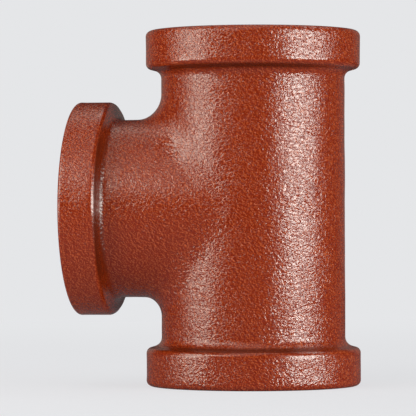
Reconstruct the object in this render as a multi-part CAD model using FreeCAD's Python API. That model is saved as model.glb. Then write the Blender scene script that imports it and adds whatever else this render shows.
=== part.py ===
import FreeCAD, Part
import math
import os

# Banded pipe tee, one iron casting with three equal threaded sockets.
# Millimetres. +Z runs up the straight run and the branch leaves along -X.
# The origin is the middle of the lower end face, which is what the tee stands on.

# Distance from the crossing of the axes to each of the three end faces
centre_to_end = 38.0

# Sockets, bored for a 1 inch parallel pipe thread
bore_radius = 15.146
socket_depth = 17.0
mouth_chamfer = 2.05

# Walls, from the thread bore outwards
chamber_relief = 1.854
wall = 2.7
branch_step = 0.5

# Bands round the three ends
band_height = 3.3
band_width = 8.0
rim_round = 1.3
band_back_round = 1.2
neck_round = 1.5
run_shoulder_slope = 0.9
branch_shoulder_slope = 1.7

# Each small rounding is turned as this many narrow cones, which keeps the facets few
round_steps = 2

# Blend where the branch grows out of the run: above it, below it and at its two sides
crotch_radius_top = 5.4
crotch_radius_bottom = 3.9
crotch_radius_side = 14.0

# Least length of plain tube kept between a blend and the shoulder of a band
plain_tube_left = 0.8

chamber_radius = bore_radius + chamber_relief
run_radius = chamber_radius + wall
branch_chamber_radius = chamber_radius - branch_step
branch_radius = run_radius - branch_step
band_radius = run_radius + band_height
band_back = centre_to_end - band_width
bore_end = centre_to_end - socket_depth

# The plain tubes reach from the crossing of the axes to the start of each shoulder's rounding
run_reach = band_back - run_shoulder_slope - neck_round
branch_reach = band_back - branch_shoulder_slope - neck_round

CENTRE = FreeCAD.Vector(0, 0, 0)
RIGHT = FreeCAD.Vector(1, 0, 0)
BACK = FreeCAD.Vector(0, 1, 0)
UP = FreeCAD.Vector(0, 0, 1)


def rounded_corner(before, corner, after, rounding):
    """Points along the arc that is tangent to both sides of a corner."""
    to_before = (before - corner).normalize()
    to_after = (after - corner).normalize()
    half_angle = to_before.getAngle(to_after) / 2
    start = corner + to_before * (rounding / math.tan(half_angle))
    centre = corner + (to_before + to_after).normalize() * (rounding / math.sin(half_angle))
    arm = start - centre
    turn_axis = to_before.cross(to_after) * -1
    turn = 180 - 2 * math.degrees(half_angle)
    points = []
    for step in range(round_steps + 1):
        rotation = FreeCAD.Rotation(turn_axis, turn * step / round_steps)
        points.append(centre + rotation.multVec(arm))
    return points


def turned(corners, angle=360):
    """A solid turned about the Z axis, starting at +X, from (radius, height, rounding) corners."""
    sharp = [FreeCAD.Vector(radius, 0, height) for radius, height, rounding in corners]
    outline = []
    for index, corner in enumerate(sharp):
        rounding = corners[index][2]
        if rounding:
            following = sharp[(index + 1) % len(sharp)]
            outline += rounded_corner(sharp[index - 1], corner, following, rounding)
        else:
            outline.append(corner)
    section = Part.Face(Part.makePolygon(outline + outline[:1]))
    return section.revolve(CENTRE, UP, angle)


def turned_over(solid):
    """The upper end of the run turned over to make the lower one."""
    lower = solid.copy()
    lower.rotate(CENTRE, RIGHT, 180)
    return lower


def laid_along_branch(solid):
    """An end built upwards laid over, so that it points along -X."""
    laid = solid.copy()
    laid.rotate(CENTRE, BACK, -90)
    return laid


def banded_end(tube_radius, tube_reach, shoulder_slope):
    """The outside of one end, from where its plain tube stops out to the end face."""
    return turned([
        (0, tube_reach, 0), (tube_radius, tube_reach, 0),
        (tube_radius, band_back - shoulder_slope, neck_round),
        (band_radius, band_back, band_back_round), (band_radius, centre_to_end, rim_round),
        (0, centre_to_end, 0)])


def crossing_edge(quarter):
    """The edge of a quarter where the run's outside and the branch's cross."""
    for edge in quarter.Edges:
        middle = edge.valueAt((edge.FirstParameter + edge.LastParameter) / 2)
        on_run = abs(math.hypot(middle.x, middle.y) - run_radius) < 1e-3
        on_branch = abs(math.hypot(middle.y, middle.z) - branch_radius) < 1e-3
        if on_run and on_branch:
            return edge


def blended_quarter(crotch_radius):
    """The tubes in front of and above the axes, with a blend that tightens from the side to the top."""
    run = turned([(0, 0, 0), (run_radius, 0, 0), (run_radius, run_reach, 0), (0, run_reach, 0)], -180)
    branch = turned([
        (0, 0, 0), (branch_radius, 0, 0), (branch_radius, branch_reach, 0), (0, branch_reach, 0)], -90)
    sharp = run.fuse(laid_along_branch(branch)).removeSplitter()
    crossing = crossing_edge(sharp)
    at_start, at_finish = crotch_radius_side, crotch_radius
    if crossing.valueAt(crossing.FirstParameter).z > crossing.valueAt(crossing.LastParameter).z:
        at_start, at_finish = crotch_radius, crotch_radius_side
    return sharp.makeFillet(at_start, at_finish, [crossing])


def blended_tubes():
    """The plain tubes of the run and the branch, blended all the way round their crossing."""
    room = min(run_reach - branch_radius, branch_reach - run_radius) - plain_tube_left
    upper = blended_quarter(min(crotch_radius_top, room))
    lower = blended_quarter(min(crotch_radius_bottom, room))
    front = upper.fuse(lower.mirror(CENTRE, UP))
    return front.fuse(front.mirror(CENTRE, BACK)).removeSplitter()


def outside():
    """The whole casting as if it were solid."""
    run_end = banded_end(run_radius, run_reach, run_shoulder_slope)
    branch_end = laid_along_branch(banded_end(branch_radius, branch_reach, branch_shoulder_slope))
    return blended_tubes().fuse([run_end, turned_over(run_end), branch_end]).removeSplitter()


def socket_core(tube_radius):
    """The hollow of one end: chamber, step down to the thread bore, bore and chamfered mouth."""
    step = tube_radius - bore_radius
    mouth_radius = bore_radius + mouth_chamfer
    past_face = 1.0
    return turned([
        (0, 0, 0), (tube_radius, 0, 0), (tube_radius, bore_end - step, 0), (bore_radius, bore_end, 0),
        (bore_radius, centre_to_end - mouth_chamfer, 0), (mouth_radius, centre_to_end, 0),
        (mouth_radius, centre_to_end + past_face, 0), (0, centre_to_end + past_face, 0)])


def hollow():
    """The three sockets and the chamber that joins them."""
    run_core = socket_core(chamber_radius)
    branch_core = laid_along_branch(socket_core(branch_chamber_radius))
    return run_core.fuse([turned_over(run_core), branch_core]).removeSplitter()


tee = outside().cut(hollow()).Solids[0]
tee.translate(UP * centre_to_end)

os.makedirs("parts", exist_ok=True)
tee.exportStep("parts/tee_body.step")
print("tee_body: %.1f mm3, %d faces, valid %s" % (tee.Volume, len(tee.Faces), tee.isValid()))
print("outside diameter of the run %.2f, of the branch %.2f, of the bands %.2f" % (
    2 * run_radius, 2 * branch_radius, 2 * band_radius))
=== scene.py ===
import math

import bmesh
import bpy
import numpy as np
from mathutils import Matrix, Vector, noise


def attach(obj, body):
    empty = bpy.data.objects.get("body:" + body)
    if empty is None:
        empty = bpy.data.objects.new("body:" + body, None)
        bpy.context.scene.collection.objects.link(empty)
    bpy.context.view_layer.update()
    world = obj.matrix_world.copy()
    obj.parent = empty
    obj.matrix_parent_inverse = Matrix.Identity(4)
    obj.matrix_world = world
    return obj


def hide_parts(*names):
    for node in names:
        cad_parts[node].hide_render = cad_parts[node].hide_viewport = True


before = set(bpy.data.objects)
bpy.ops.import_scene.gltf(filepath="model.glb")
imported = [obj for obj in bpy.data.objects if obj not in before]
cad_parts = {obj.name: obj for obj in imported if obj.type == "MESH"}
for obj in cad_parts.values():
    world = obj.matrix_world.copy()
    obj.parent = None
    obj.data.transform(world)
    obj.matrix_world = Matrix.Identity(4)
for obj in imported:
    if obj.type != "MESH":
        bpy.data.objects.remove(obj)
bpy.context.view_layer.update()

# Looks of the red cast-iron pipe tee: its body with cut threads, its paint, and the camera and lights.
# Lengths in the shape code are millimetres from the crossing of the axes; the mesh itself is in metres.
MM = 0.001

# The casting, with the same values as the part's source
CENTRE_TO_END = 38.0
BORE_RADIUS = 15.146
SOCKET_DEPTH = 17.0
MOUTH_CHAMFER = 2.05
CHAMBER_RADIUS = 17.0
WALL = 2.7
BRANCH_STEP = 0.5
BAND_HEIGHT = 3.3
BAND_WIDTH = 8.0
RIM_ROUND = 1.3
RUN_SHOULDER_SLOPE = 0.9
BRANCH_NECK_ROUND = 1.5
CROTCH_TOP = 5.4
CROTCH_BOTTOM = 3.9
CROTCH_SIDE = 14.0

# Small details that differ a little from the source, as the photographed casting shows them
BRANCH_BAND_WIDTH = 7.8
BRANCH_RIM_ROUND = 0.8
BRANCH_SHOULDER_SLOPE = 0.7
BAND_BACK_ROUND = 1.3
UPPER_NECK_ROUND = 1.8
LOWER_NECK_ROUND = 2.1

# The tee stands on its lower end face, so the axes cross this high above the floor
CROSSING_HEIGHT = CENTRE_TO_END
RUN_RADIUS = CHAMBER_RADIUS + WALL
BRANCH_CHAMBER_RADIUS = CHAMBER_RADIUS - BRANCH_STEP
BRANCH_RADIUS = RUN_RADIUS - BRANCH_STEP
BAND_RADIUS = RUN_RADIUS + BAND_HEIGHT
BAND_BACK = CENTRE_TO_END - BAND_WIDTH
BRANCH_BAND_BACK = CENTRE_TO_END - BRANCH_BAND_WIDTH
BORE_END = CENTRE_TO_END - SOCKET_DEPTH
MOUTH_RADIUS = BORE_RADIUS + MOUTH_CHAMFER
FACE_MIDDLE = (BAND_RADIUS + MOUTH_RADIUS) / 2

# The 1 inch parallel pipe thread. The last stretch of the socket has no groove, and the straight flanks are
# mixed with a soft wave by this share, which rounds the crests and roots.
PITCH = 2.309
THREAD_DEPTH = 1.479
FLANK_ANGLE = math.radians(27.5)
UNTHREADED_END = 0.8
WAVE_SHARE = 0.25

# Soft lumps of the painted skin: how deep it sinks, how many large and small lumps there are to a
# millimetre, and where they fade out near the end faces
LEAST_SINK = 0.004
LUMP_SINK = 0.05
LUMP_CONTRAST = 1.5
LARGE_LUMPS = 0.13
SMALL_LUMPS = 0.3
SMALL_LUMP_HEIGHT = 0.5
SMALL_LUMP_OFFSET = Vector((9, 4, 7))
LUMPLESS_EDGE = 0.3
LUMP_FADE = 1.5

# Grid: points round the branch and round the back of the run, and the window in the run's wall that the
# branch's points spread out to
AROUND_BRANCH = 320
WINDOW_ACROSS = 88
WINDOW_DOWN = AROUND_BRANCH // 2 - WINDOW_ACROSS
WINDOW_HALF_ANGLE = math.radians(95)
WINDOW_REACH = 26.9
AROUND_REST = 79

# Steps of the grid along each surface, the gap over which its seams are closed, and the angle from which
# an edge stays sharp
THREAD_ROWS = 72
BLEND_ROWS = 16
TUBE_ROWS = 14
PATCH_ROWS = 14
CHAMBER_ROWS = 4
ROUND_STEPS = 7
LONGEST_STEP = 0.9
WELD_DISTANCE = 0.002
SHARP_ANGLE = math.radians(32)

# The places of the three materials in the body's list
PAINT, IRON, CORE = 0, 1, 2


class Surface:
    """Collects grids of points as faces, each face with its material."""

    def __init__(self):
        self.points = []
        self.faces = []
        self.zones = []
        self.count = 0

    def add_points(self, points):
        """Adds an array of points and returns the numbers that they get."""
        points = np.asarray(points, float)
        numbers = np.arange(self.count, self.count + points[..., 0].size).reshape(points.shape[:-1])
        self.points.append(points.reshape(-1, 3))
        self.count += numbers.size
        return numbers

    def add_grid(self, points, zone, closed=True):
        """Faces between neighbouring rows of an array of points; closed rows run right round."""
        numbers = self.add_points(points)
        ahead = np.roll(numbers, -1, axis=1) if closed else numbers[:, 1:]
        here = numbers if closed else numbers[:, :-1]
        quads = np.stack([here[:-1], ahead[:-1], ahead[1:], here[1:]], axis=-1).reshape(-1, 4)
        self.faces += quads.tolist()
        self.zones += [zone] * len(quads)

    def add_halving(self, fine, coarse, zone):
        """Joins a ring to one with half its points."""
        outer = self.add_points(fine)
        inner = self.add_points(coarse)
        for index in range(len(inner)):
            first, middle = outer[2 * index], outer[2 * index + 1]
            last = outer[(2 * index + 2) % len(outer)]
            here, ahead = inner[index], inner[(index + 1) % len(inner)]
            self.faces += [[first, middle, here], [middle, ahead, here], [middle, last, ahead]]
            self.zones += [zone] * 3


def eased(share):
    """A share from 0 to 1, with a soft start and finish."""
    return share * share * (3 - 2 * share)


def on_arc(first_arm, last_arm, sweep, share):
    """The arm of an arc, a share of the way round from its first to its last."""
    return (first_arm * np.sin((1 - share) * sweep) + last_arm * np.sin(share * sweep)) / np.sin(sweep)


def rounded(corners):
    """Points of a profile from (radius, height, rounding) corners; the first and last stay sharp."""
    sharp = [np.array(corner[:2], float) for corner in corners]
    points = [sharp[0]]
    for index in range(1, len(sharp) - 1):
        corner = sharp[index]
        rounding = corners[index][2]
        to_before = sharp[index - 1] - corner
        to_after = sharp[index + 1] - corner
        to_before /= np.linalg.norm(to_before)
        to_after /= np.linalg.norm(to_after)
        half_angle = math.acos(np.clip(to_before @ to_after, -1, 1)) / 2
        inwards = (to_before + to_after) / np.linalg.norm(to_before + to_after)
        centre = corner + inwards * rounding / math.sin(half_angle)
        first_arm = corner + to_before * rounding / math.tan(half_angle) - centre
        last_arm = corner + to_after * rounding / math.tan(half_angle) - centre
        sweep = math.pi - 2 * half_angle
        for step in range(ROUND_STEPS + 1):
            points.append(centre + on_arc(first_arm, last_arm, sweep, step / ROUND_STEPS))
    points.append(sharp[-1])
    return points


def spread(points):
    """The same profile with more points wherever two neighbours are far apart."""
    dense = [points[0]]
    for start, finish in zip(points[:-1], points[1:]):
        parts = max(1, math.ceil(np.linalg.norm(finish - start) / LONGEST_STEP))
        for part in range(1, parts + 1):
            dense.append(start + (finish - start) * part / parts)
    return dense


def around_run(radius, height, angle):
    """A point of the run by its angle, which starts at +X."""
    return np.stack(np.broadcast_arrays(radius * np.cos(angle), radius * np.sin(angle), height), axis=-1)


def around_branch(radius, reach, angle):
    """A point of the branch by its angle, which starts at the top."""
    return np.stack(np.broadcast_arrays(-reach, radius * np.sin(angle), radius * np.cos(angle)), axis=-1)


def turn_over(points):
    """From the run's upper end to its lower one, by half a turn about the branch's axis."""
    return points * np.array([1, -1, -1])


def end_profile(tube_radius, start, band_back, shoulder_slope, neck_round, rim_round):
    """From the plain tube over the shoulder, band and rim to the middle of the end face."""
    return spread(rounded([
        (tube_radius, start, 0),
        (tube_radius, band_back - shoulder_slope, neck_round),
        (BAND_RADIUS, band_back, BAND_BACK_ROUND),
        (BAND_RADIUS, CENTRE_TO_END, rim_round),
        (FACE_MIDDLE, CENTRE_TO_END, 0)]))


def thread_radius(reach, angle):
    """Radius of the tapped socket, a right-handed groove that fades out at its inner end."""
    depth = CENTRE_TO_END - reach
    phase = (reach / PITCH - angle / (2 * math.pi)) % 1
    from_crest = np.abs(phase - 0.5) * PITCH
    flat = (PITCH / 2 - THREAD_DEPTH * math.tan(FLANK_ANGLE)) / 2
    share = np.clip((from_crest - flat) / (PITCH / 2 - 2 * flat), 0, 1)
    groove = THREAD_DEPTH * ((1 - WAVE_SHARE) * share + WAVE_SHARE * eased(share))
    fade = np.clip((SOCKET_DEPTH - UNTHREADED_END - depth) / PITCH, 0, 1)
    cone = MOUTH_RADIUS - depth
    return np.maximum(BORE_RADIUS + groove * fade, cone)


def socket(place, angles):
    """The points of one socket from its mouth's edge to the chamber's first ring."""
    rows = np.linspace(CENTRE_TO_END, BORE_END, THREAD_ROWS + 1)
    reach = np.sort(np.append(rows, CENTRE_TO_END - MOUTH_CHAMFER))[::-1]
    reach_grid, angle_grid = np.meshgrid(reach, angles, indexing="ij")
    radius = thread_radius(reach_grid, angle_grid)
    radius[0] = MOUTH_RADIUS
    radius[-1] = BORE_RADIUS
    return place(radius, reach_grid, angle_grid)


def crotch_radius(angle):
    """Radius of the blend at an angle round the branch: tight above and below, wide at the sides."""
    from_top = np.abs((angle + math.pi) % (2 * math.pi) - math.pi)
    upper = from_top <= math.pi / 2
    share = np.where(upper, from_top, math.pi - from_top) / (math.pi / 2)
    tight = np.where(upper, CROTCH_TOP, CROTCH_BOTTOM)
    return tight + (CROTCH_SIDE - tight) * eased(share)


def branch_angles():
    """The angles of the branch's rings, from the top."""
    return np.arange(AROUND_BRANCH) * 2 * math.pi / AROUND_BRANCH


def run_angles():
    """The angles of the run's rings, of those along the window's top and of those behind it, in order."""
    window = math.pi - np.linspace(-WINDOW_HALF_ANGLE, WINDOW_HALF_ANGLE, WINDOW_ACROSS + 1)
    rest_half = math.pi - WINDOW_HALF_ANGLE
    rest = np.linspace(-rest_half, rest_half, AROUND_REST + 1)[1:-1]
    return np.sort(np.concatenate([window, rest]) % (2 * math.pi))


def window_border(reach):
    """Angle from -X and height of the points on the border of the run's window, from its top middle."""
    half_across = WINDOW_ACROSS // 2
    corners = np.cumsum([0, half_across, WINDOW_DOWN, WINDOW_ACROSS, WINDOW_DOWN, half_across])
    numbers = np.arange(AROUND_BRANCH)
    angles = np.interp(numbers, corners, [0, 1, 1, -1, -1, 0]) * WINDOW_HALF_ANGLE
    heights = np.interp(numbers, corners, [1, 1, -1, -1, 1, 1]) * reach
    return angles, heights


def window_patch(surface, radius, reach, inner_points, row_count, zone):
    """The run's wall between a closed curve on it and the window's border, and the wall behind the window."""
    inner_angle = np.arctan2(inner_points[:, 1], -inner_points[:, 0])
    inner_height = inner_points[:, 2]
    border_angle, border_height = window_border(reach)
    rows = []
    for row in range(row_count + 1):
        share = row / row_count
        angle = inner_angle + (border_angle - inner_angle) * share
        height = inner_height + (border_height - inner_height) * share
        rows.append(around_run(radius, height, math.pi - angle))
    surface.add_grid(rows, zone)
    rest_half = math.pi - WINDOW_HALF_ANGLE
    angles = np.linspace(-rest_half, rest_half, AROUND_REST + 1)
    heights = np.linspace(reach, -reach, WINDOW_DOWN + 1)
    height_grid, angle_grid = np.meshgrid(heights, angles, indexing="ij")
    surface.add_grid(around_run(radius, height_grid, angle_grid), zone, closed=False)


def branch_tube(radius, start, finish, row_count):
    """Rows of points along the branch from one reach to another, both included."""
    angles = branch_angles()
    shares = np.linspace(0, 1, row_count + 1)
    return [around_branch(radius, start + (finish - start) * share, angles) for share in shares]


def crossing_blend():
    """Rows of points across the blend, from its edge on the branch to its edge on the run."""
    angles = branch_angles()
    blend = crotch_radius(angles)
    centre_y = (BRANCH_RADIUS + blend) * np.sin(angles)
    centre_z = (BRANCH_RADIUS + blend) * np.cos(angles)
    centre_x = -np.sqrt((RUN_RADIUS + blend) ** 2 - centre_y ** 2)
    centres = np.stack([centre_x, centre_y, centre_z], axis=-1)
    pull = RUN_RADIUS / (RUN_RADIUS + blend)
    from_branch = around_branch(BRANCH_RADIUS, -centre_x, angles) - centres
    from_run = np.stack([centre_x * pull, centre_y * pull, centre_z], axis=-1) - centres
    cosine = (from_branch * from_run).sum(1) / blend ** 2
    sweep = np.arccos(np.clip(cosine, -1, 1))[:, None]
    shares = np.arange(BLEND_ROWS + 1) / BLEND_ROWS
    return [centres + on_arc(from_branch, from_run, sweep, share) for share in shares]


def build_outside(surface):
    """The painted skin: the blended crossing, the three bands and the outer half of the end faces."""
    tube_start = BRANCH_BAND_BACK - BRANCH_SHOULDER_SLOPE - BRANCH_NECK_ROUND
    profile = end_profile(
        BRANCH_RADIUS, tube_start, BRANCH_BAND_BACK, BRANCH_SHOULDER_SLOPE, BRANCH_NECK_ROUND,
        BRANCH_RIM_ROUND)
    band = [around_branch(radius, reach, branch_angles()) for radius, reach in profile[:0:-1]]
    blend = crossing_blend()
    blend_start = -blend[0][:, 0]
    tube = branch_tube(BRANCH_RADIUS, tube_start, blend_start, TUBE_ROWS)
    surface.add_grid(band + tube[:-1] + blend, PAINT)
    window_patch(surface, RUN_RADIUS, WINDOW_REACH, blend[-1], PATCH_ROWS, PAINT)
    for neck_round, flip in ((UPPER_NECK_ROUND, False), (LOWER_NECK_ROUND, True)):
        profile = end_profile(RUN_RADIUS, WINDOW_REACH, BAND_BACK, RUN_SHOULDER_SLOPE, neck_round, RIM_ROUND)
        rows = np.array([around_run(radius, height, run_angles()) for radius, height in profile])
        surface.add_grid(turn_over(rows) if flip else rows, PAINT)


def build_sockets(surface):
    """The inner half of the end faces, the three tapped sockets and the chamber behind them."""
    angles = run_angles()
    step_end = BORE_END - (CHAMBER_RADIUS - BORE_RADIUS)
    face = np.array([around_run(radius, CENTRE_TO_END, angles) for radius in (FACE_MIDDLE, MOUTH_RADIUS)])
    hole = socket(around_run, angles)
    step_corners = ((BORE_RADIUS, BORE_END), (CHAMBER_RADIUS, step_end))
    step = np.array([around_run(radius, height, angles) for radius, height in step_corners])
    for flip in (False, True):
        for rows, zone in ((face, PAINT), (hole, IRON), (step, CORE)):
            surface.add_grid(turn_over(rows) if flip else rows, zone)
    fine = branch_angles()
    coarse = fine[::2]
    outer_face = around_branch(FACE_MIDDLE, CENTRE_TO_END, fine)
    surface.add_halving(outer_face, around_branch(MOUTH_RADIUS, CENTRE_TO_END, coarse), PAINT)
    surface.add_grid(socket(around_branch, coarse), IRON)
    branch_step_end = BORE_END - (BRANCH_CHAMBER_RADIUS - BORE_RADIUS)
    step_edge = around_branch(BRANCH_CHAMBER_RADIUS, branch_step_end, fine)
    surface.add_halving(step_edge, around_branch(BORE_RADIUS, BORE_END, coarse), CORE)
    crossing_reach = np.sqrt(CHAMBER_RADIUS ** 2 - (BRANCH_CHAMBER_RADIUS * np.sin(fine)) ** 2)
    tube = branch_tube(BRANCH_CHAMBER_RADIUS, branch_step_end, crossing_reach, CHAMBER_ROWS)
    surface.add_grid(tube, CORE)
    window_patch(surface, CHAMBER_RADIUS, step_end, tube[-1], CHAMBER_ROWS, CORE)


def lump_height(place):
    """How far the skin stands up at a place, from about -1 to 1: large lumps with small ones on them."""
    large = noise.noise(place * LARGE_LUMPS, noise_basis="PERLIN_NEW")
    small = noise.noise(place * SMALL_LUMPS + SMALL_LUMP_OFFSET, noise_basis="PERLIN_NEW")
    return large + SMALL_LUMP_HEIGHT * small


def sink_lumps(work):
    """Sinks the painted skin by up to a tenth of a millimetre in soft lumps, as on a sand casting."""
    work.normal_update()
    sunk = []
    for vert in work.verts:
        if any(face.material_index != PAINT for face in vert.link_faces):
            continue
        reach = max(abs(vert.co.z), -vert.co.x)
        fade = min(1.0, max(0.0, (CENTRE_TO_END - LUMPLESS_EDGE - reach) / LUMP_FADE))
        height = max(-1.0, min(1.0, lump_height(vert.co) * LUMP_CONTRAST))
        depth = LEAST_SINK + LUMP_SINK * (1 - height)
        sunk.append((vert, vert.normal * -depth * fade))
    for vert, move in sunk:
        vert.co += move


def make_body():
    """The tee as one watertight object that stands on the floor."""
    surface = Surface()
    build_outside(surface)
    build_sockets(surface)
    mesh = bpy.data.meshes.new("tee_casting")
    mesh.from_pydata(np.concatenate(surface.points).tolist(), [], surface.faces)
    mesh.polygons.foreach_set("material_index", np.array(surface.zones, np.int32))
    work = bmesh.new()
    work.from_mesh(mesh)
    bmesh.ops.remove_doubles(work, verts=work.verts, dist=WELD_DISTANCE)
    bmesh.ops.recalc_face_normals(work, faces=work.faces)
    sink_lumps(work)
    for vert in work.verts:
        vert.co = (vert.co + Vector((0, 0, CROSSING_HEIGHT))) * MM
    work.to_mesh(mesh)
    work.free()
    mesh.update()
    mesh.shade_smooth()
    mesh.set_sharp_from_angle(angle=SHARP_ANGLE)
    for material in (paint_material(), iron_material(), core_material()):
        mesh.materials.append(material)
    tee = bpy.data.objects.new("tee_casting", mesh)
    bpy.context.scene.collection.objects.link(tee)
    return tee


def new_material(name):
    """A new material with its node tree and its main shader."""
    material = bpy.data.materials.new(name)
    material.use_nodes = True
    return material, material.node_tree, material.node_tree.nodes["Principled BSDF"]


def put(tree, value, target):
    """Gives a node's input a fixed value or another node's output."""
    if isinstance(value, bpy.types.NodeSocket):
        tree.links.new(value, target)
    else:
        target.default_value = value


def calculated(tree, operation, *values):
    """The result of a math node with these inputs."""
    node = tree.nodes.new("ShaderNodeMath")
    node.operation = operation
    for value, target in zip(values, node.inputs):
        put(tree, value, target)
    return node.outputs[0]


def moved(tree, operation, *vectors):
    """The vector that a vector math node makes of these inputs."""
    node = tree.nodes.new("ShaderNodeVectorMath")
    node.operation = operation
    for vector, target in zip(vectors, node.inputs):
        put(tree, vector, target)
    return node.outputs["Vector"]


def length_of(tree, vector):
    """The length of a vector."""
    node = tree.nodes.new("ShaderNodeVectorMath")
    node.operation = "LENGTH"
    tree.links.new(vector, node.inputs[0])
    return node.outputs["Value"]


def scaled(tree, points, scale):
    """The points, scaled along each axis."""
    node = tree.nodes.new("ShaderNodeMapping")
    node.inputs["Scale"].default_value = scale
    tree.links.new(points, node.inputs["Vector"])
    return node.outputs["Vector"]


def object_points(tree):
    """Places on the object, in metres."""
    return tree.nodes.new("ShaderNodeTexCoord").outputs["Object"]


def millimetre_points(tree):
    """Places on the object, in millimetres."""
    return scaled(tree, object_points(tree), (1 / MM, 1 / MM, 1 / MM))


def noise_node(tree, points, scale, detail, roughness=0.5, distortion=0.0):
    """A noise whose grains are about 1 / scale millimetres."""
    node = tree.nodes.new("ShaderNodeTexNoise")
    node.inputs["Scale"].default_value = scale
    node.inputs["Detail"].default_value = detail
    node.inputs["Roughness"].default_value = roughness
    node.inputs["Distortion"].default_value = distortion
    tree.links.new(points, node.inputs["Vector"])
    return node


def ramp(tree, value, stops):
    """A colour for each value, from (value, colour) stops."""
    node = tree.nodes.new("ShaderNodeValToRGB")
    elements = node.color_ramp.elements
    while len(elements) < len(stops):
        elements.new(0.5)
    for element, (place, colour) in zip(elements, stops):
        element.position = place
        element.color = (*colour, 1)
    tree.links.new(value, node.inputs["Fac"])
    return node.outputs["Color"]


def number_ramp(tree, value, stops):
    """A number for each value, from (value, number) stops."""
    return ramp(tree, value, [(place, (number, number, number)) for place, number in stops])


def bump(tree, height, depth, strength=1.0):
    """Bends the surface as if height, from 0 to 1, stood up to depth metres."""
    node = tree.nodes.new("ShaderNodeBump")
    node.inputs["Distance"].default_value = depth
    put(tree, strength, node.inputs["Strength"])
    tree.links.new(height, node.inputs["Height"])
    return node.outputs["Normal"]


def mixed(tree, share, first, second):
    """The first colour, turned into the second as share goes from 0 to 1."""
    node = tree.nodes.new("ShaderNodeMix")
    node.data_type = "RGBA"
    tree.links.new(share, node.inputs["Factor"])
    first_colour, second_colour = [item for item in node.inputs if item.type == "RGBA"]
    tree.links.new(first, first_colour)
    second_colour.default_value = (*second, 1)
    return next(item for item in node.outputs if item.type == "RGBA")


# The cast skin: the slow drift that bends the wrinkles, the wrinkles themselves, and the step across them
# that tells a lit flank from one that faces away, for the light and shade painted on the flanks. Scales are
# grains to a millimetre.
DRIFT_SCALE = 0.15
DRIFT_DETAIL = 1.0
DRIFT_REACH = 2.0
UPRIGHT_SQUEEZE = 1.3
WRINKLE = {"detail": 1.0, "roughness": 0.5, "distortion": 0.9}
WRINKLE_SCALE = 1.4
WRINKLE_DEPTH = 0.17 * MM
FLANK_SCALE = 1.7
FLANK_STEP = (0.19, 0.0, 0.11)
FLANK_CONTRAST = 1.6

# Painted shade on flanks that face away, the paint's red on level skin, painted light on lit flanks, painted
# shade in the necks
SHADED_RED = (0.235, 0.016, 0.001)
RED = (0.285, 0.023, 0.001)
LIT_RED = (0.51, 0.092, 0.024)
NECK_SHADE_RED = (0.11, 0.011, 0.001)
FLANK_LIGHT_TONES = [(0.24, SHADED_RED), (0.5, RED), (0.78, LIT_RED)]
PAINT_ROUGHNESS = 0.15
NECK_ROUGHNESS = 0.25
PAINT_SPECULAR = 1.0

# Where the painted shade in the necks and the smoother back edges of the bands lie, as (millimetres, share)
# stops; a ramp's whole range stands for RAMP_LENGTH
RUN_NECK_ALONG = [(28.9, 0), (29.5, 1), (30.1, 1), (30.4, 0)]
RUN_NECK_ACROSS = [(22.2, 1), (22.9, 0)]
BRANCH_NECK_ALONG = [(28.6, 0), (29.2, 1), (30.3, 1), (30.6, 0)]
BRANCH_NECK_ACROSS = [(20.6, 0.8), (21.4, 1), (22.4, 1), (22.9, 0)]
# The painted shade in each neck thins out towards the sides, by the distance along the other arm
NECK_SHADE_FADING = [(13, 1), (20, 0.1)]
BUMP_OVER_EDGES = [(29.0, 1), (29.8, 0.3), (30.8, 0.3), (31.6, 1)]
RAMP_LENGTH = 50.0


def level(tree, length, stops):
    """A number for each length in millimetres, from (length, number) stops."""
    share = calculated(tree, "DIVIDE", length, RAMP_LENGTH)
    return number_ramp(tree, share, [(place / RAMP_LENGTH, number) for place, number in stops])


def bent_points(tree, points):
    """Places pushed about by a slow noise, then squeezed upright, so that grains lie in flowing wrinkles."""
    drift = noise_node(tree, points, DRIFT_SCALE, DRIFT_DETAIL).outputs["Color"]
    pushed = moved(tree, "MULTIPLY_ADD", drift, (DRIFT_REACH, DRIFT_REACH, DRIFT_REACH), points)
    return scaled(tree, pushed, (1, 1, UPRIGHT_SQUEEZE))


def lit_flanks(tree, points):
    """Above 0.5 on the flanks of the finest wrinkles that face one way, below it on those that face away: the
    share of painted light and shade.
    """
    ahead = moved(tree, "ADD", points, FLANK_STEP)
    here = noise_node(tree, points, FLANK_SCALE, **WRINKLE).outputs["Fac"]
    there = noise_node(tree, ahead, FLANK_SCALE, **WRINKLE).outputs["Fac"]
    drop = calculated(tree, "SUBTRACT", here, there)
    return calculated(tree, "MULTIPLY_ADD", drop, FLANK_CONTRAST, 0.5)


def length_along(tree, points, directions):
    """How far the places lie from the crossing of the axes, counted only in the given directions."""
    crossing = (0, 0, -CROSSING_HEIGHT * directions[2])
    return length_of(tree, moved(tree, "MULTIPLY_ADD", points, directions, crossing))


def painted_neck_shade(tree, points):
    """1 in the concave corners behind the bands, where shade is painted, and 0 elsewhere."""
    along_run = length_along(tree, points, (0, 0, 1))
    along_branch = length_along(tree, points, (1, 0, 0))
    from_run = length_along(tree, points, (1, 1, 0))
    from_branch = length_along(tree, points, (0, 1, 1))
    run_ring = calculated(
        tree, "MULTIPLY", level(tree, along_run, RUN_NECK_ALONG), level(tree, from_run, RUN_NECK_ACROSS))
    run_neck = calculated(tree, "MULTIPLY", run_ring, level(tree, along_branch, NECK_SHADE_FADING))
    branch_ring = calculated(
        tree, "MULTIPLY", level(tree, along_branch, BRANCH_NECK_ALONG),
        level(tree, from_branch, BRANCH_NECK_ACROSS))
    branch_neck = calculated(tree, "MULTIPLY", branch_ring, level(tree, along_run, NECK_SHADE_FADING))
    return calculated(tree, "MAXIMUM", run_neck, branch_neck)


def off_edges(tree, points):
    """1 on the open skin, less on the back edges of the bands, which came out of the mould smoother."""
    along_run = length_along(tree, points, (0, 0, 1))
    along_branch = length_along(tree, points, (1, 0, 0))
    return level(tree, calculated(tree, "MAXIMUM", along_run, along_branch), BUMP_OVER_EDGES)


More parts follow.
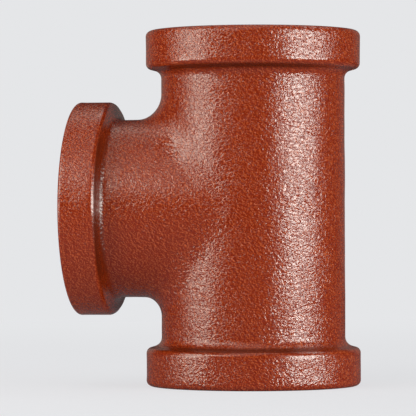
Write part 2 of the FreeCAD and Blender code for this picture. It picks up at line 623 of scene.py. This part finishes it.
def paint_material():
    """Glossy oxide-red paint on the fine wrinkles of a cast skin, with painted light and shade on their
    flanks and painted shade in the necks.
    """
    material, tree, shader = new_material("tee_paint")
    points = millimetre_points(tree)
    skin = bent_points(tree, points)
    wrinkle = noise_node(tree, skin, WRINKLE_SCALE, **WRINKLE).outputs["Fac"]
    # Painted shade in the concave necks behind the bands
    painted_shade = painted_neck_shade(tree, points)
    # Painted light and shade: a lighter red on wrinkle flanks that face one way, a darker red on those that
    # face away
    flank_light = ramp(tree, lit_flanks(tree, skin), FLANK_LIGHT_TONES)
    roughness = number_ramp(tree, painted_shade, [(0, PAINT_ROUGHNESS), (1, NECK_ROUGHNESS)])
    put(tree, bump(tree, wrinkle, WRINKLE_DEPTH, off_edges(tree, points)), shader.inputs["Normal"])
    put(tree, mixed(tree, painted_shade, flank_light, NECK_SHADE_RED), shader.inputs["Base Color"])
    put(tree, roughness, shader.inputs["Roughness"])
    shader.inputs["Specular IOR Level"].default_value = PAINT_SPECULAR
    return material


def iron_material():
    """Bare cut iron of the threads and the chamfered mouths."""
    dull_cut, bright_cut = (0.30, 0.27, 0.24), (0.46, 0.44, 0.41)
    material, tree, shader = new_material("cut_iron")
    points = millimetre_points(tree)
    stain = noise_node(tree, points, scale=0.35, detail=4.0, roughness=0.6, distortion=0.4)
    grain = noise_node(tree, points, scale=3.0, detail=2.0, roughness=0.6)
    colour = ramp(tree, stain.outputs["Fac"], [(0.3, dull_cut), (0.6, bright_cut)])
    put(tree, colour, shader.inputs["Base Color"])
    put(tree, bump(tree, grain.outputs["Fac"], depth=0.04 * MM), shader.inputs["Normal"])
    shader.inputs["Metallic"].default_value = 1
    shader.inputs["Roughness"].default_value = 0.36
    return material


def core_material():
    """Dark rough iron of the chamber, with overspray and rust."""
    dark_iron, rust = (0.05, 0.035, 0.03), (0.16, 0.06, 0.035)
    material, tree, shader = new_material("core_iron")
    points = millimetre_points(tree)
    stain = noise_node(tree, points, scale=0.25, detail=5.0, roughness=0.65, distortion=0.3)
    grain = noise_node(tree, points, scale=1.2, detail=4.0, roughness=0.6)
    colour = ramp(tree, stain.outputs["Fac"], [(0.35, dark_iron), (0.65, rust)])
    put(tree, colour, shader.inputs["Base Color"])
    put(tree, bump(tree, grain.outputs["Fac"], depth=0.3 * MM), shader.inputs["Normal"])
    shader.inputs["Roughness"].default_value = 0.65
    return material


body = make_body()
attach(body, "root")
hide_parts("tee_body")

# Floor and backdrop, in metres. The floor shows the backdrop's glow and, close round the tee, a share of
# its own lit surface, which carries the shadow; there the glow is lifted, because that surface is darker.
BACKGROUND = (0.783, 0.791, 0.807)
IN_REFLECTIONS = 0.05
SKY_FILL = 0.1
FLOOR_COLOUR = (0.8, 0.81, 0.92)
FLOOR_ROUGHNESS = 0.9
FLOOR_LIT_SHARE = 0.25
FLOOR_LIFT = 0.36
LIT_WITHIN = 0.06
UNLIT_BEYOND = 0.40
FLOOR_HALF = 3


def straight_rays(tree, rays):
    """1 for rays from the camera and those that pass through glass, 0 for others."""
    return calculated(tree, "MAXIMUM", rays.outputs["Is Camera Ray"], rays.outputs["Is Transmission Ray"])


def seen_strength(tree, rays, at_camera):
    """How brightly a glow shows: as at_camera on straight rays, dimly in reflections, otherwise not."""
    reflected = calculated(tree, "MULTIPLY", rays.outputs["Is Glossy Ray"], IN_REFLECTIONS)
    return calculated(tree, "MULTIPLY_ADD", straight_rays(tree, rays), at_camera, reflected)


def floor_material():
    """A pale floor that matches the background, with a soft share of its lit surface round the tee."""
    material, tree, shader = new_material("stage_grey")
    shader.inputs["Base Color"].default_value = (*FLOOR_COLOUR, 1)
    shader.inputs["Roughness"].default_value = FLOOR_ROUGHNESS
    shader.inputs["Specular IOR Level"].default_value = 0.0
    share = tree.nodes.new("ShaderNodeMapRange")
    share.interpolation_type = "SMOOTHSTEP"
    share.inputs["From Min"].default_value = LIT_WITHIN
    share.inputs["From Max"].default_value = UNLIT_BEYOND
    share.inputs["To Min"].default_value = FLOOR_LIT_SHARE
    share.inputs["To Max"].default_value = 0.0
    tree.links.new(length_of(tree, object_points(tree)), share.inputs["Value"])
    lit_share = share.outputs["Result"]
    rays = tree.nodes.new("ShaderNodeLightPath")
    glow = tree.nodes.new("ShaderNodeEmission")
    glow.inputs["Color"].default_value = (*BACKGROUND, 1)
    lifted = calculated(tree, "MULTIPLY_ADD", lit_share, FLOOR_LIFT, 1.0)
    put(tree, seen_strength(tree, rays, lifted), glow.inputs["Strength"])
    seen = calculated(tree, "MAXIMUM", straight_rays(tree, rays), rays.outputs["Is Glossy Ray"])
    glowing = calculated(tree, "SUBTRACT", seen, lit_share)
    glowing.node.use_clamp = True
    mix = tree.nodes.new("ShaderNodeMixShader")
    tree.links.new(glowing, mix.inputs["Fac"])
    tree.links.new(shader.outputs[0], mix.inputs[1])
    tree.links.new(glow.outputs[0], mix.inputs[2])
    tree.links.new(mix.outputs[0], tree.nodes["Material Output"].inputs["Surface"])
    return material


def make_floor():
    """A wide square floor at the tee's foot."""
    mesh = bpy.data.meshes.new("floor")
    corners = [(x * FLOOR_HALF, y * FLOOR_HALF, 0) for x, y in ((-1, -1), (1, -1), (1, 1), (-1, 1))]
    mesh.from_pydata(corners, [], [(0, 1, 2, 3)])
    mesh.materials.append(floor_material())
    plane = bpy.data.objects.new("floor", mesh)
    bpy.context.scene.collection.objects.link(plane)
    return plane


def make_backdrop():
    """A world that the camera sees as the plain background, and that lights the tee a little all round."""
    world = bpy.data.worlds.new("studio")
    bpy.context.scene.world = world
    world.use_nodes = True
    tree = world.node_tree
    sky = tree.nodes["Background"]
    sky.inputs["Color"].default_value = (*BACKGROUND, 1)
    rays = tree.nodes.new("ShaderNodeLightPath")
    seen = seen_strength(tree, rays, 1.0)
    strength = calculated(tree, "MULTIPLY_ADD", rays.outputs["Is Diffuse Ray"], SKY_FILL, seen)
    put(tree, strength, sky.inputs["Strength"])


floor = make_floor()
make_backdrop()

# Camera at the photograph's viewing angle. The distance and the shift, which places the tee in the frame,
# are in metres; the lens and the sensor are in millimetres.
AZIMUTH = math.radians(9.80)
ELEVATION = math.radians(-0.17)
ROLL = math.radians(0.153)
DISTANCE = 0.64026
FRAME_SHIFT = (0.009695, -0.000037)
AIM = Vector((0, 0, CROSSING_HEIGHT * MM))
LENS = 258.4
SENSOR_WIDTH = 36


def towards(azimuth, elevation):
    """The direction from the tee to a place in front of it, by its angles to the right and up."""
    along_floor = math.cos(elevation)
    return Vector((math.sin(azimuth) * along_floor, -math.cos(azimuth) * along_floor, math.sin(elevation)))


def make_camera():
    """The camera, aimed at the tee and rolled a little."""
    right = Vector((math.cos(AZIMUTH), math.sin(AZIMUTH), 0))
    back = towards(AZIMUTH, ELEVATION)
    up = back.cross(right)
    rolled_right = right * math.cos(ROLL) - up * math.sin(ROLL)
    rolled_up = right * math.sin(ROLL) + up * math.cos(ROLL)
    data = bpy.data.cameras.new("camera")
    data.sensor_width = SENSOR_WIDTH
    data.lens = LENS
    camera = bpy.data.objects.new("camera", data)
    bpy.context.scene.collection.objects.link(camera)
    place = AIM + back * DISTANCE - rolled_right * FRAME_SHIFT[0] - rolled_up * FRAME_SHIFT[1]
    axes = Matrix((rolled_right, rolled_up, back)).transposed()
    camera.matrix_world = Matrix.Translation(place) @ axes.to_4x4()
    bpy.context.scene.camera = camera


make_camera()

# Softboxes: degrees from the camera to the right, degrees up, width and height in metres, watts.
# Sizes and watts are for a box a metre away; those on the left stand nearer and are scaled down to match.
# Those on the right are the cooler ones.
LIT_CENTRE = Vector((-0.0075, 0, CROSSING_HEIGHT * MM))
LEFT_REACH = 0.40
OTHER_REACH = 1.0
WARM_WHITE = (1.0, 0.95, 0.83)
COOLER_WHITE = (1.0, 1.0, 0.93)
SOFTBOXES = [
    (30, 0, 0.26, 0.16, 0.16), (45, 0, 0.26, 0.16, 1.55), (60, 0, 0.26, 0.16, 1.67),
    (75, 0, 0.26, 0.16, 1.15), (45, 11, 0.26, 0.20, 1.16), (60, 11, 0.26, 0.20, 1.05),
    (75, 11, 0.26, 0.20, 0.71), (40, 27, 0.34, 0.32, 0.42),
    (-60, 0, 0.26, 0.16, 0.89), (-75, 0, 0.26, 0.16, 0.70), (-90, 0, 0.26, 0.16, 0.29),
    (-60, 11, 0.26, 0.20, 0.29), (-75, 11, 0.26, 0.20, 0.36),
    (-20, 27, 0.34, 0.32, 0.27), (-40, 27, 0.34, 0.32, 0.97), (-60, 27, 0.34, 0.32, 1.38),
    (-80, 27, 0.34, 0.32, 1.02),
    (92, 11, 0.26, 0.30, 0.10), (155, 0, 0.60, 0.90, 0.20), (-155, 0, 0.60, 0.90, 0.29),
    (0, 50, 0.34, 0.34, 0.30), (-30, 50, 0.34, 0.34, 0.31), (-105, 50, 0.34, 0.34, 0.42),
    (100, 50, 0.34, 0.34, 0.70),
    (0, 80, 0.60, 0.40, 0.57), (150, 60, 0.60, 0.32, 0.55), (-150, 60, 0.60, 0.32, 0.53)]


def softbox(degrees_right, degrees_up, width, height, watts):
    """An area light aimed at the tee, placed by its direction as the camera sees it."""
    reach = LEFT_REACH if degrees_right < 0 else OTHER_REACH
    outwards = towards(AZIMUTH + math.radians(degrees_right), math.radians(degrees_up))
    data = bpy.data.lights.new("softbox", "AREA")
    data.shape = "RECTANGLE"
    data.size = width * reach
    data.size_y = height * reach
    data.energy = watts * reach ** 2
    data.color = COOLER_WHITE if degrees_right > 0 else WARM_WHITE
    light = bpy.data.objects.new("softbox", data)
    light.location = LIT_CENTRE + outwards * reach
    light.rotation_euler = (-outwards).to_track_quat("-Z", "Y").to_euler()
    light.visible_camera = False
    bpy.context.scene.collection.objects.link(light)


for box in SOFTBOXES:
    softbox(*box)

bpy.context.scene.view_settings.view_transform = "Standard"
